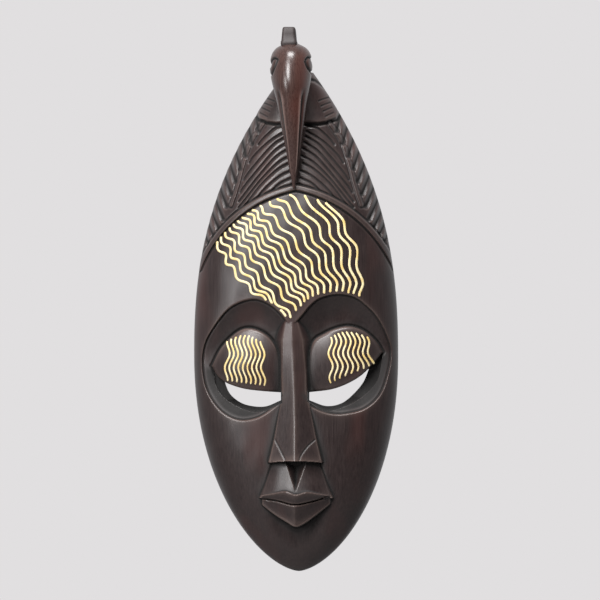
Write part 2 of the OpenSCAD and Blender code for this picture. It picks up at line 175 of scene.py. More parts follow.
def carved(points, steps=8):
    return curve(points, steps) + [CENTRE, 0]


def lid_skin(x, z, side):
    q = np.hypot((x - CENTRE - LID_CENTRES[side]) / 40, (z - 186) / 36)
    return dome(x, z) - 7.92 * np.clip(q, 0, 1) ** 2


# painted shadow: the lower part of each socket, under its lid, is marked to be painted dark
painted_lid_shadow = np.zeros(X.shape)
for side, (lower, upper) in enumerate([(left_lower, left_upper), (right_lower, right_upper)]):
    bowl = inset(curve(sockets[side], 6), 6.0)
    lid_foot = carved(lower)
    under = smooth((np.interp(X, lid_foot[:, 0], lid_foot[:, 1]) + 3 - Z) / 8)
    painted_lid_shadow += smooth(bowl / 5) * under
    outline = np.vstack([lid_foot[:-1], carved(upper)[:-1]])
    edge = inset(outline, 6.0)
    lid = lid_skin(X, Z, side) - 1.6 * (1 - np.clip(edge / 3.2, 0, 1)) ** 2
    depth += (lid - depth) * smooth((edge + 0.5) / 1.3)
    depth -= 1.1 * np.exp(-((edge + 0.9) / 0.8) ** 2)

# ---- Nose --------------------------------------------------------------------
# A long wedge with one sharp ridge, left standing from the brow to its tip, with a
# short line cut on each side to mark the nostril.

nose_heights = [98.5, 117, 138, 158, 177, 204, 219, 230]
nose_halves = [22.5, 18.4, 14.6, 10.4, 10.4, 9, 5.5, 2]
nose_ridges = [66, 61.8, 57.8, 55.4, 53.4, 51.9, 50.2, 48.2]


def nose_line(z):
    return CENTRE - 0.5 - 3.5 * (np.clip(z - 100, 0, None) / 120) ** 2


half = np.interp(Z, nose_heights, nose_halves)
slope = np.interp(Z, [98, 160, 190, 225], [0.62, 0.6, 0.42, 0.3])
off = np.abs(X - nose_line(Z))
nose = np.interp(Z, nose_heights, nose_ridges) - slope * (np.sqrt(off**2 + 0.5) - 0.7)
nose -= np.interp(Z, [150, 200], [3.2, 1.1]) * np.clip(off - half, 0, None)
nose_foot = 97.3 + 1.8 * (1 - np.clip((X - CENTRE) / 22, -1, 1) ** 2)
nose -= 16 * np.clip((nose_foot - Z) / 1.3, 0, 8)
nose -= 1.2 * np.clip(Z - 222, 0, None)
depth = np.maximum(depth, nose)
for line in ([(-16.8, 117.1), (-12.5, 109.5), (-7.5, 100)],
             [(17.7, 117.1), (11.5, 111.5), (6.4, 104.5), (4.5, 99.5)]):
    groove(curve(line, 6), 2.6, 0.9)

# ---- Mouth -------------------------------------------------------------------
# A wedge below the nose with a notch cut in its middle, an overhanging upper lip,
# and a lower lip shaped like a shield whose point stands clear of the chin.

from_centre = np.abs(X - CENTRE)
wedge_half = 20.5 + 9 * (98 - Z) / 27
wedge = 45 + (7 + 5 * (98 - Z) / 27) * (1 - np.clip(from_centre / wedge_half, 0, 1) ** 2.2)
wedge -= 3 * np.clip(from_centre - wedge_half, 0, None)
wedge = np.where((Z > 66) & (Z < 103), wedge, 0)
depth = np.maximum(depth, wedge)
for flank in (-1, 1):
    groove([(CENTRE + flank * 21, 98), (CENTRE + flank * 30, 69)], 2.2, 0.8)
notch = inset(np.array([(-8.2, 99.5), (11.2, 99.5), (1.2, 71.8)]), 8.0)
depth -= 1.25 * np.clip(notch, 0, 6) * (Z < 98.6)

mouth_line = curve([(-29.5, 65.5), (-14.5, 64), (0.3, 60.8), (15.2, 63.5), (30.5, 67.6)], 8)
lip_top = curve([(-29.5, 68.5), (-18, 71), (-7.5, 73), (1.2, 70.2), (10.8, 72.4), (20, 70.8),
                 (30, 68.6)], 6)
lip_foot = curve([(-30.7, 61.5), (-18.9, 52.1), (-7.5, 45.2), (1.2, 40.8), (9.9, 44.3),
                  (20.4, 52.1), (31.7, 61)], 6)
top = np.interp(X, lip_top[:, 0], lip_top[:, 1])
mouth = np.interp(X, mouth_line[:, 0], mouth_line[:, 1])
foot = np.interp(X, lip_foot[:, 0], lip_foot[:, 1])
across = np.clip(from_centre / 30.5, 0, 1)
in_mouth = smooth((31 - from_centre) / 2)
down = smooth((top - Z) / np.maximum(top - mouth, 1))
upper_lip = 60.8 - 14.2 * across**1.6 - 3.6 * down
zone = in_mouth * smooth((Z - mouth + 0.4) / 0.8) * smooth((top + 0.3 - Z) / 1.0)
depth += zone * (upper_lip - depth)
lower_lip = 58.4 - 0.48 * np.sqrt((X - 0.3) ** 2 + 0.6) - 0.3 * np.clip(mouth - Z, 0, None)
chin = np.exp(-((X - CENTRE) / 22) ** 4 - (np.clip(foot - 3 - Z, 0, None) / 15) ** 2)
depth -= 3.6 * chin * smooth((foot + 1 - Z) / 3)
zone = in_mouth * smooth((mouth + 0.2 - Z) / 0.8) * smooth((Z - foot + 0.4) / 1.0)
depth += zone * (lower_lip - depth)
groove(mouth_line[3:-3], 2.6, 1.6)
edge = distance(lip_foot, 5.0)
depth += 0.35 * np.exp(-((edge - 1.2) / 0.8) ** 2) * (Z > foot) * in_mouth

# ---- Crown -------------------------------------------------------------------
# A raised fillet arches over the forehead. Above it long feathers fan out from the
# beak to a ridge, short ones are cut in from the edge, and two shoulders stand on top.

ARC_RADIUS, ARC_SIDE, ARC_HEIGHT = 118.5, 22.5, 220.7
feathers = [[(10, 391), (18, 389.5), (28, 381), (33, 375)],
            [(9, 386.5), (23, 378), (36, 366), (41, 359)],
            [(8, 382), (19, 375.5), (30, 364), (41, 351), (46, 344)],
            [(7, 377), (19, 369), (31, 355.5), (44, 340), (49, 333)],
            [(6, 371.5), (18, 363.5), (31, 349), (43, 334), (50, 325)],
            [(5, 365), (16, 358.5), (30, 344.5), (41, 331), (50, 320)],
            [(6, 358.5), (17, 352), (32, 338), (44, 322)], [(4, 352), (14, 347), (27, 336), (38, 322)],
            [(4, 345.5), (14, 340.5), (24, 331)], [(3, 340), (12, 335)]]
ridge = [(29, 394), (40, 377), (46.5, 358), (52, 337), (57, 322)]


def arch_height(x):
    return ARC_HEIGHT + math.sqrt(ARC_RADIUS**2 - (abs(x - CENTRE) + ARC_SIDE) ** 2)


angles = np.radians(np.linspace(79, 23, 30))
half_arch = np.stack([ARC_RADIUS * np.cos(angles) - ARC_SIDE,
                      ARC_HEIGHT + ARC_RADIUS * np.sin(angles)], 1)
arch = np.vstack([(half_arch * [-1, 1] + [CENTRE, 0])[::-1], half_arch + [CENTRE, 0]])
off = distance(arch, 6.0)
depth += 1.9 * smooth((2.8 - off) / 1.4)
depth -= 1.3 * np.exp(-((off - 3.2) / 0.8) ** 2)
foot_line = np.interp(X, arch[:, 0], arch[:, 1]) + 3
above_arch = smooth((Z - foot_line) / 1.5)
# Everything cut below stays above the fillet.
crown = depth.copy()

for hand in (-1, 1):
    for points in feathers:
        line = curve([(CENTRE + hand * x, z) for x, z in points], 6)
        groove(line, 3.0, 1.8)
    spine_line = curve([(CENTRE + hand * x, z) for x, z in ridge], 6)
    off = distance(spine_line, 5.0)
    depth += 1.3 * smooth((2.0 - off) / 1.4)
    depth -= 0.8 * np.exp(-((off - 2.6) / 0.7) ** 2)
    for i in range(11):
        z = 404 - 10.6 * i
        x = half_width(np.array(z)) + 1.2
        low = z - 17 - 0.4 * i
        lean = 2.6 + 0.7 * i
        line = [(middle(z) + hand * (x - lean * t**1.2), z + (low - z) * t)
                for t in np.linspace(0, 1, 5)]
        groove(line, 6.0, 3.6)
    shoulder = [(6, 432), (15, 430.5), (24, 424.5), (32, 415), (37, 404), (34, 398), (27, 395),
                (18, 393.5), (6, 394)]
    edge = inset(np.array([(CENTRE + 0.7 + hand * x, z) for x, z in shoulder]), 5.0)
    depth += 3.2 * smooth((edge + 0.8) / 2.6)
    depth -= 1.6 * np.exp(-((edge + 1.4) / 1.0) ** 2)
    for i in range(5):
        z = 417 - 4.6 * i
        x = 27.5 + 1.5 * i
        groove([(CENTRE + hand * x, z), (CENTRE + hand * (x - 8 + 0.5 * i), z - 3.8)], 2.2, 1.2)
depth = crown + (depth - crown) * above_arch

# Fourteen light waves left by the scraper, each 0.07 mm from trough to crest.
rng = np.random.default_rng(4)
for _ in range(14):
    wave, slant = rng.uniform(9, 24), rng.uniform(0, math.pi)
    run = X * math.cos(slant) + Z * math.sin(slant) * 0.45
    depth += 0.035 * np.sin(2 * math.pi * run / wave + rng.uniform(0, 6.28))
depth = np.maximum(depth, 3.0)


def blurred(a, radius):
    """Mean over a square window of grid points, edges repeated."""
    for axis in (0, 1):
        pad = [(radius + 1, radius) if k == axis else (0, 0) for k in (0, 1)]
        total = np.cumsum(np.pad(a, pad, mode="edge"), axis=axis)
        size = a.shape[axis]
        high = np.take(total, np.arange(size) + 2 * radius + 1, axis=axis)
        low = np.take(total, np.arange(size), axis=axis)
        a = (high - low) / (2 * radius + 1)
    return a


# Painted shade darkens the cuts and hollows, and painted shadow darkens each socket under its lid;
# convex edges are painted paler, partly as wear and partly as painted highlight.
fine = blurred(depth, 2) - depth
broad = blurred(blurred(depth, 7), 7) - depth
recess = np.clip(fine * 1.8, 0, 1) * 0.7 + np.clip(broad * 0.55, 0, 1) * 0.7 + 0.8 * painted_lid_shadow
worn = np.clip(-fine * 1.6, 0, 1) * 0.3 + np.clip(-broad * 0.3, 0, 1) * 0.25

# The back: a flat rim round a hollow that follows the face.
RIM, HOLLOW_DEPTH, HOLLOW_LOW, HOLLOW_HIGH = 10.0, 26.0, 27.0, 326.0
BACK_COLUMNS = 72
back_turn = np.linspace(-math.pi / 2, math.pi / 2, BACK_COLUMNS - 1)
t = (rows - (HOLLOW_LOW + HOLLOW_HIGH) / 2) / ((HOLLOW_HIGH - HOLLOW_LOW) / 2)
within = smooth((1 - np.abs(t)) * 40)
t = np.clip(np.abs(t), 0, 1)
half = half_width(rows)
hollow_half = np.clip(half - RIM, half * 0.3, None) * np.sqrt(1 - 0.9 * t**5)
hollow = HOLLOW_DEPTH * np.sqrt(1 - 0.96 * t**4) * within
back_x = np.hstack([(middle(rows) - half)[:, None],
                    middle(rows)[:, None] + hollow_half[:, None] * np.sin(back_turn)[None, :],
                    (middle(rows) + half)[:, None]])
back_depth = np.zeros_like(back_x)
back_depth[:, 1:-1] = hollow[:, None] * np.clip(np.cos(back_turn), 0, 1)[None, :] ** 0.6


def row_point(x, d, z):
    """Millimetres from the chin and the wall to metres in the shared frame."""
    return np.stack([x * MM, -d * MM, (z - HOLE_HEIGHT) * MM], -1)


def grid_faces(first, tall, wide):
    a = first + np.arange(tall - 1)[:, None] * wide + np.arange(wide - 1)[None, :]
    return np.stack([a, a + 1, a + wide + 1, a + wide], -1).reshape(-1, 4)


def mesh_piece(name, points, faces, sharp=60):
    mesh = bpy.data.meshes.new(name)
    mesh.from_pydata(points.tolist(), [], [list(f) for f in faces])
    mesh.validate()
    mesh.update()
    mesh.shade_smooth()
    mesh.set_sharp_from_angle(angle=math.radians(sharp))
    piece = bpy.data.objects.new(name, mesh)
    bpy.context.scene.collection.objects.link(piece)
    return piece


tall, wide, back_wide = len(rows), COLUMNS + 1, BACK_COLUMNS + 1
front = row_point(X, depth, Z).reshape(-1, 3)
back = row_point(back_x, back_depth, np.repeat(rows[:, None], back_wide, 1)).reshape(-1, 3)
start = len(front)
sides = []
for f0, b0, flip in ((0, 0, True), (wide - 1, back_wide - 1, False)):
    f = f0 + np.arange(tall) * wide
    b = start + b0 + np.arange(tall) * back_wide
    quad = np.stack([f[:-1], b[:-1], b[1:], f[1:]], -1)
    sides.append(quad[:, ::-1] if flip else quad)
faces = [*grid_faces(0, tall, wide).tolist(), *grid_faces(start, tall, back_wide)[:, ::-1].tolist()]
faces += sides[0].tolist() + sides[1].tolist()
for row, flip in ((0, False), (tall - 1, True)):
    ring = list(range(row * wide, row * wide + wide))
    ring += list(range(start + row * back_wide + back_wide - 1, start + row * back_wide - 1, -1))
    faces.append(ring if flip else ring[::-1])
body = mesh_piece("carved_block", np.vstack([front, back]), faces)
# painted shade and painted edge highlight, stored per point for the wood material
for label, values in (("recess", recess), ("worn", worn)):
    attribute = body.data.attributes.new(label, "FLOAT", "POINT")
    attribute.data.foreach_set("value", np.concatenate([values.ravel(), np.zeros(len(back))]))


def ring_faces(rings, count):
    """Faces of a closed skin over that many rings of count points, flat across both ends."""
    faces = []
    for i in range(rings - 1):
        for j in range(count):
            a, b = i * count + j, i * count + (j + 1) % count
            faces.append((a, b, b + count, a + count))
    return faces + [tuple(range(count))[::-1], tuple(range((rings - 1) * count, rings * count))]


def outward(piece):
    """Turns every face of a closed piece to look outward."""
    turned = bmesh.new()
    turned.from_mesh(piece.data)
    bmesh.ops.recalc_face_normals(turned, faces=turned.faces)
    turned.to_mesh(piece.data)
    turned.free()
    return piece


def loft(name, rings):
    return outward(mesh_piece(name, np.vstack(rings), ring_faces(len(rings), len(rings[0]))))


def cut_away(piece, cutter, operation="DIFFERENCE"):
    step = piece.modifiers.new("cut", "BOOLEAN")
    step.operation = operation
    step.solver = "MANIFOLD"
    step.object = cutter
    graph = bpy.context.evaluated_depsgraph_get()
    made = bpy.data.meshes.new_from_object(piece.evaluated_get(graph))
    piece.modifiers.clear()
    piece.data = made
    bpy.data.objects.remove(cutter)


slit_fronts = [[(-73, 178), (-72, 166), (-64, 153.5), (-47, 143.5), (-30, 141.2), (-12, 149)],
               [(10, 150.5), (25.6, 142), (43.2, 146), (60, 156), (71, 169), (75, 189)]]
slit_backs = [[(-64, 168), (-60, 158), (-53, 151), (-43, 146.5), (-28, 145.5), (-14, 151)],
              [(11, 151), (25.6, 146), (38.8, 148.2), (49.4, 156.2), (58.2, 166.8), (63, 178)]]
for side, lower in enumerate((left_lower, right_lower)):
    lid_edge = carved(lower, 12)
    front_ring = carved(slit_fronts[side], 10)
    back_ring = carved(slit_backs[side], 10)
    rings = []
    for outline, level in ((back_ring, 4), (back_ring, 27), (front_ring, 0), (front_ring, 75)):
        xs = np.linspace(outline[0, 0], outline[-1, 0], 61)
        low_z = np.interp(xs, outline[:, 0], outline[:, 1])
        high_z = np.interp(xs, lid_edge[:, 0], lid_edge[:, 1]) + 0.6
        high_z = np.maximum(high_z, low_z + 0.3)
        ring_x = np.concatenate([xs, xs[::-1]])
        ring_z = np.concatenate([low_z, high_z[::-1]])
        level = level if level else dome(ring_x, ring_z) - 10.5
        rings.append(row_point(ring_x, np.broadcast_to(level, ring_x.shape), ring_z))
    cutter = loft("slit_cutter", rings)
    # painted shade: the walls of each eye slit are painted almost black
    shade = cutter.data.attributes.new("recess", "FLOAT", "POINT")
    shade.data.foreach_set("value", np.full(len(cutter.data.vertices), 0.95))
    cut_away(body, cutter)


# A pocket for the keyhole plate, and room behind its hole for the wall screw's head.
plate_low, plate_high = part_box("hanger_plate")
pad = 0.15 * MM
HEAD_ROOM_RADIUS, HEAD_ROOM_DEPTH = 6.2 * MM, 8 * MM
plate_r = (plate_high.z - plate_low.z) / 2 + pad
straight = (plate_high.x - plate_low.x) / 2 + pad - plate_r
plate_z = (plate_high.z + plate_low.z) / 2
for half_run, radius, floor_y in ((straight, plate_r, plate_low.y - pad),
                                  (0.0, HEAD_ROOM_RADIUS, -HEAD_ROOM_DEPTH)):
    ends = [(half_run + radius * math.cos(a), plate_z + radius * math.sin(a))
            for a in np.linspace(-math.pi / 2, math.pi / 2, 32)]
    ends += [(-x, z) for x, z in ends[::-1]]
    cut_away(body, loft("hanger_recess", [np.array([(x, y, z) for x, z in ends])
                                          for y in (floor_y, 1 * MM)]))
body.data.set_sharp_from_angle(angle=math.radians(58))


def linear(hex_colour):
    """An sRGB hex colour as linear RGBA."""
    channels = [int(hex_colour[i : i + 2], 16) / 255 for i in (1, 3, 5)]
    return [c / 12.92 if c <= 0.04045 else ((c + 0.055) / 1.055) ** 2.4 for c in channels] + [1]


def add(tree, kind, settings=None, **inputs):
    """Adds a node with its settings and links; a link is written as (node, output)."""
    node = tree.nodes.new(kind)
    for key, value in (settings or {}).items():
        setattr(node, key, value)
    for key, value in inputs.items():
        socket = node.inputs[int(key[1:]) if key[1:].isdigit() else key.replace("_", " ")]
        if isinstance(value, tuple) and isinstance(value[0], bpy.types.Node):
            tree.links.new(value[0].outputs[value[1]], socket)
        else:
            socket.default_value = value
    return node


def stained_hardwood(name, dark, middle_tone, light, red, polish):
    """Dark-stained hardwood under thin wax: fine upright grain, painted shade in the cuts,
    painted highlight and wear on the edges, and a soft satin gloss that the grain breaks up."""
    material = bpy.data.materials.new(name)
    material.use_nodes = True
    tree = material.node_tree
    shader = tree.nodes["Principled BSDF"]
    place = add(tree, "ShaderNodeTexCoord")
    # one grain streak is about 1.1 mm wide and 30 mm long
    streaks = add(tree, "ShaderNodeMapping", Vector=(place, "Object"), Scale=(900, 900, 34))
    grain = add(tree, "ShaderNodeTexNoise", Vector=(streaks, 0), Scale=1.0, Detail=5.0, Roughness=0.62)
    # colour drifts over patches about 40 mm wide and 120 mm tall
    patches = add(tree, "ShaderNodeMapping", Vector=(place, "Object"), Scale=(25, 25, 8))
    drift = add(tree, "ShaderNodeTexNoise", Vector=(patches, 0), Scale=1.0, Detail=2.0)
    tone = add(tree, "ShaderNodeValToRGB", Fac=(grain, 0))
    tone.color_ramp.elements[0].position = 0.3
    tone.color_ramp.elements[0].color = linear(dark)
    tone.color_ramp.elements[1].position = 0.72
    tone.color_ramp.elements[1].color = linear(middle_tone)
    warm = add(tree, "ShaderNodeMapRange", Value=(drift, 0))
    warm.inputs[1].default_value, warm.inputs[2].default_value = 0.5, 0.72
    warm.inputs[4].default_value = 0.75
    reddened = add(tree, "ShaderNodeMix", {"data_type": "RGBA"}, _0=(warm, 0), _6=(tone, 0),
                   _7=linear(red))
    # painted highlight and wear: marked edges are mixed toward the light tone
    wear_and_highlight_node = add(tree, "ShaderNodeAttribute", {"attribute_name": "worn"})
    rubbed_and_highlit = add(tree, "ShaderNodeMix", {"data_type": "RGBA"}, _0=(wear_and_highlight_node, "Fac"),
                 _6=(reddened, 2), _7=linear(light))
    # painted shade: the cuts, the sockets under the lids and the slit walls are mixed toward near-black
    # #0b0807
    painted_shade_node = add(tree, "ShaderNodeAttribute", {"attribute_name": "recess"})
    painted_shade_mix = add(tree, "ShaderNodeMix", {"data_type": "RGBA"}, _0=(painted_shade_node, "Fac"),
                 _6=(rubbed_and_highlit, 2), _7=linear("#0b0807"))
    tree.links.new(painted_shade_mix.outputs[2], shader.inputs["Base Color"])
    gloss = add(tree, "ShaderNodeMapRange", Value=(grain, 0))
    gloss.inputs[3].default_value, gloss.inputs[4].default_value = polish, polish + 0.16
    dull = add(tree, "ShaderNodeMath", {"operation": "MULTIPLY_ADD"}, _0=(painted_shade_node, "Fac"), _1=0.45,
               _2=(gloss, 0))
    tree.links.new(dull.outputs[0], shader.inputs["Roughness"])
    relief = add(tree, "ShaderNodeBump", Height=(grain, 0), Strength=0.35, Distance=0.00012)
    tree.links.new(relief.outputs[0], shader.inputs["Normal"])
    shader.inputs["IOR"].default_value = 1.5
    return material


dark_wood = stained_hardwood("dark_stained_hardwood", "#1f1717", "#302625", "#6a5a54", "#3e2522", 0.3)
body.data.materials.clear()
body.data.materials.append(dark_wood)
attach(body, "root")
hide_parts("mask_body")

# ---- Cream lines -------------------------------------------------------------
# Wavy grooves filled with a cream paste that is rubbed level when dry: seventeen over
# the forehead and nine on each lid. Each strip is a little proud along its middle.

LINE_WIDTH, LID_LINE_WIDTH, LINE_SINK = 2.3, 1.8, 1.5
WAVE_SWING, LID_WAVE_SWING, BELOW_ARCH = 2.0, 1.7, 5
FIRST_WAVE, LAST_WAVE = 14, 19
line_rows = [(-69.5, -26.0, 238.5), (-66.0, -20.3, 236.0), (-62.2, -4.4, 223.2),
             (-58.2, 0.2, 229.4), (-54.7, 4.6, 233.4), (-51.1, 7.6, 237.0), (-47.4, 10.8, 239.4),
             (-43.0, 15.0, 241.8), (-38.6, 19.6, 243.5), (-31.7, 24.8, 244.6), (-22.8, 30.0, 245.6),
             (-16.6, 35.4, 246.2), (-5.8, 40.6, 246.2), (7.4, 45.8, 244.8), (18.6, 50.3, 244.2),
             (25.7, 55.5, 242.0)]
# the crests of neighbouring waves stand in line, along these five curves
crests = [[(-63.5, 277), (-61.8, 279.7), (-54.7, 291.2), (-37.1, 313.3), (-28, 323.8)],
          [(-60, 261), (-54.7, 269.1), (-45.9, 278.8), (-28.2, 302.7), (-8, 324.6), (0, 331)],
          [(-47, 246), (-40.6, 255), (-33.5, 264.7), (-12.4, 287.7), (12.4, 301.8), (39.7, 308.8)],
          [(-34, 237), (-29.1, 241.8), (-17.6, 248), (3.5, 265.6), (27.4, 281.5), (52, 284.5)],
          [(-13, 226), (-6.2, 230.3), (12.4, 248), (34.4, 253.2), (58, 252.4)]]


def past(points, crest):
    """Signed distance of points from a crest curve, positive toward the lower right."""
    c = curve(crest, 6)
    c = np.vstack([c[:1] + 3 * (c[0] - c[1]), c, c[-1:] + 3 * (c[-1] - c[-2])])
    best, sign = np.full(len(points), 1e9), np.ones(len(points))
    for a, b in zip(c[:-1], c[1:]):
        d, q = b - a, points - a
        t = np.clip(q @ d / (d @ d), 0, 1)
        gap = np.linalg.norm(q - t[:, None] * d, axis=1)
        sign = np.where(gap < best, np.sign(d[1] * q[:, 0] - d[0] * q[:, 1]), sign)
        best = np.minimum(best, gap)
    return best * sign


def forehead_line(i):
    start_x, end_x, end_z = line_rows[i]
    a = np.array([start_x, arch_height(start_x + CENTRE) - BELOW_ARCH])
    e = np.array([end_x, end_z])
    run = (e - a) / np.linalg.norm(e - a)
    across = np.array([run[1], -run[0]])
    bow = min(16.5, 2.2 * i - 7.5 - 3 * (i == 0)) + 2 * max(0, i - 13)
    t = np.linspace(0, 1, 240)[:, None]
    base = a * (1 - t) ** 2 + e * t**2 + ((a + e) / 2 - across * bow) * 2 * t * (1 - t)
    gone = [past(base, crest) for crest in crests]
    phase = np.minimum(gone[0], 0) / FIRST_WAVE + np.maximum(gone[-1], 0) / LAST_WAVE
    for near, far in zip(gone[:-1], gone[1:]):
        phase += np.clip(near / np.maximum(near - far, 1), 0, 1)
    wave = np.cos(2 * math.pi * phase)[:, None]
    wave = wave - wave[0] * (1 - t) ** 12 - wave[-1] * t**12
    return base - across * WAVE_SWING * wave + [CENTRE, 0]


def lid_lines(top, foot, crest, wave):
    lines = []
    for i in range(9):
        a = (top[0] + (top[1] - top[0]) * i / 8, top[2] + top[3] * math.sin(math.radians(22.5 * i)))
        e = (foot[0] + (foot[1] - foot[0]) * i / 8, foot[2] + (foot[3] - foot[2]) * i / 8)
        z = np.linspace(a[1], e[1], 60)
        x = a[0] + (e[0] - a[0]) * (a[1] - z) / (a[1] - e[1])
        x = x + CENTRE + LID_WAVE_SWING * np.cos(2 * math.pi * (z - crest) / wave)
        lines.append(np.stack([x, z], 1))
    return lines


def filled_line(line, width, skin):
    """Closed strip along a line on the wood, rounded at both ends."""
    along = np.gradient(line, axis=0)
    along /= np.linalg.norm(along, axis=1)[:, None]
    sideways = np.stack([along[:, 1], -along[:, 0]], 1)
    gone = np.concatenate([[0], np.cumsum(np.linalg.norm(np.diff(line, axis=0), axis=1))])
    r = width / 2
    to_end = np.clip(np.minimum(gone, gone[-1] - gone) + 0.12, 0, r)
    share = np.sqrt(np.clip(1 - (1 - to_end / r) ** 2, 0.03, 1))
    profile = [(-1, -0.5), (-0.86, 0.16), (-0.45, 0.32), (0, 0.38), (0.45, 0.32), (0.86, 0.16),
               (1, -0.5), (0.7, -LINE_SINK), (-0.7, -LINE_SINK)]
    rings = []
    for p, s, k in zip(line, sideways, share):
        at = [p + s * r * k * u for u, _ in profile]
        x, z = np.array(at).T
        lift = np.array([h if h < 0 else h * k for _, h in profile])
        rings.append(row_point(x, skin(x, z) + lift, z))
    return np.vstack(rings), ring_faces(len(rings), len(profile))


def line_piece(name, lines, width, skin, node):
    points, faces, count = [], [], 0
    for line in lines:
        p, f = filled_line(line, width, skin)
        points.append(p)
        faces += [tuple(k + count for k in q) for q in f]
        count += len(p)
    piece = outward(mesh_piece(name, np.vstack(points), faces))
    piece.data.materials.append(cream_paste)
    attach(piece, "root")
    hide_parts(node)
    return piece


# Dried cream paste: chalky, slightly yellower and dirtier in patches.
cream_paste = bpy.data.materials.new("dried_cream_paste")
cream_paste.use_nodes = True
tree = cream_paste.node_tree
place = add(tree, "ShaderNodeTexCoord")
# patches about 8 mm across, and a chalk grain of 0.6 mm
patches = add(tree, "ShaderNodeTexNoise", Vector=(place, "Object"), Scale=120.0, Detail=2.0)
chalk = add(tree, "ShaderNodeTexNoise", Vector=(place, "Object"), Scale=1600.0, Detail=3.0)
tone = add(tree, "ShaderNodeValToRGB", Fac=(patches, 0))
tone.color_ramp.elements[0].position = 0.36
tone.color_ramp.elements[0].color = linear("#d2b673")
tone.color_ramp.elements[1].position = 0.6
tone.color_ramp.elements[1].color = linear("#dccda2")
tree.links.new(tone.outputs[0], tree.nodes["Principled BSDF"].inputs["Base Color"])
relief = add(tree, "ShaderNodeBump", Height=(chalk, 0), Strength=0.3, Distance=0.0001)
tree.links.new(relief.outputs[0], tree.nodes["Principled BSDF"].inputs["Normal"])
tree.nodes["Principled BSDF"].inputs["Roughness"].default_value = 0.6

forehead = [forehead_line(i) for i in range(len(line_rows))]
forehead.append(curve([(-13.7, 230.5), (-11, 228), (-8.6, 224.5)], 8) + [CENTRE, 0])
line_piece("forehead_line_filler", forehead, LINE_WIDTH, dome, "forehead_lines")
line_piece("left_lid_line_filler", lid_lines((-59, -29.5, 203, 5.5), (-62, -28.5, 168, 164), 191.5, 23),
           LID_LINE_WIDTH, lambda x, z: lid_skin(x, z, 0), "left_lid_lines")
line_piece("right_lid_line_filler", lid_lines((29.5, 61, 207, 4.5), (31, 66.5, 166, 183), 203, 21.6),
           LID_LINE_WIDTH, lambda x, z: lid_skin(x, z, 1), "right_lid_lines")

# ---- Bird's head -------------------------------------------------------------
# A head carved from a redder piece of the same wood, with a long beak that hangs over
# the crown, and pegged by its neck to the top of the block.

BIRD_X, HEAD_HALF, HEAD_TOP = -2.6, 18.5, 462.0
bird_rings = np.array([
    (336, 0.04, 54, 52.6, 2.3), (342, 0.1, 56.3, 52, 2.2), (352, 0.2, 60, 52, 2.1),
    (367, 0.33, 65.5, 52, 2), (382, 0.46, 70.5, 52, 1.6), (397, 0.59, 75, 51, 1.2),
    (411, 0.71, 79, 47, 0.8), (423, 0.85, 82, 41, 0.4), (433, 0.95, 82, 35, 0),
    (443, 1, 80, 30, 0), (452, 0.93, 76.5, 30, 0), (458, 0.72, 71, 33, 0),
    (HEAD_TOP, 0.34, 62, 42, 0)])
rings_z = curve(bird_rings, 16)
ANGLES = 144
angle = np.linspace(0, 2 * math.pi, ANGLES, endpoint=False)
cx = BIRD_X + rings_z[:, 4]
cd = (rings_z[:, 2] + rings_z[:, 3]) / 2
rd = (rings_z[:, 2] - rings_z[:, 3]) / 2
rx = HEAD_HALF * rings_z[:, 1]
bx = cx[:, None] + rx[:, None] * np.sin(angle)[None, :]
bd = cd[:, None] + rd[:, None] * np.cos(angle)[None, :]
bz = np.repeat(rings_z[:, :1], ANGLES, 1)
nx = np.sin(angle)[None, :] / np.maximum(rx[:, None], 0.5)
nd = np.cos(angle)[None, :] / np.maximum(rd[:, None], 0.5)
size = np.hypot(nx, nd)
facing = np.cos(angle)[None, :] > -0.35
share = np.abs(np.sin(angle))[None, :]
on_beak = smooth((424 - bz) / 14) * smooth((bz - 344) / 12)
press = 1.5 * on_beak * np.exp(-((share - 0.74) / 0.07) ** 2) * facing
press = press - 0.7 * on_beak * np.exp(-((share - 0.58) / 0.07) ** 2) * facing
eye_lines = [curve([(-21.2, 442), (-19.5, 446.6), (-16.8, 448.3), (-14.2, 446.8)], 6),
             curve([(-14.8, 445.2), (-16.6, 441), (-19.6, 434.5)], 6),
             curve([(11.2, 446.8), (13.2, 449.4), (16, 447.8), (17.4, 443.5)], 6),
             curve([(10.8, 445), (12.8, 440), (16.4, 435.5)], 6)]
for line in eye_lines:
    best = np.full(bx.shape, 9.0)
    for a, b in zip(line[:-1], line[1:]):
        d = b - a
        t = np.clip(((bx - a[0]) * d[0] + (bz - a[1]) * d[1]) / (d @ d), 0, 1)
        best = np.minimum(best, np.hypot(bx - a[0] - t * d[0], bz - a[1] - t * d[1]))
    press = press + 1.9 * np.exp(-((best / 0.95) ** 2)) * facing
bx = bx - press * nx / size
bd = bd - press * nd / size
bird = loft("bird_head_carving", list(row_point(bx, bd, bz)))
# painted shade in the beak and eye grooves, and painted highlight with wear on the raised lines
label = bird.data.attributes.new("recess", "FLOAT", "POINT")
label.data.foreach_set("value", np.clip(press.ravel() * 0.75, 0, 1))
label = bird.data.attributes.new("worn", "FLOAT", "POINT")
label.data.foreach_set("value", np.clip(-press.ravel() * 0.9, 0, 1))

neck = []
for z, x, d, wide_r, deep_r in [(439, 0.4, 18, 10.5, 11.5), (441, 0.4, 19, 10.6, 12),
                                (444, 0, 22, 10.8, 13), (448, -1, 28, 11, 14),
                                (452, -1.8, 33, 10.5, 13), (455, -2.4, 36, 8, 10)]:
    a = np.linspace(0, 2 * math.pi, 64, endpoint=False)
    neck.append(row_point(x + wide_r * np.sin(a), d + deep_r * np.cos(a), np.full(64, float(z))))
cut_away(bird, loft("neck", neck), "UNION")
bird.data.set_sharp_from_angle(angle=math.radians(55))
red_wood = stained_hardwood("red_stained_hardwood", "#2e201e", "#45322d", "#7c6862", "#522c25", 0.2)
bird.data.materials.clear()
bird.data.materials.append(red_wood)
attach(bird, "root")
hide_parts("bird_head")

# ---- Comb --------------------------------------------------------------------
# A small upright crest of dark wood, wider at its foot, with a round tenon glued into
# the top of the head.

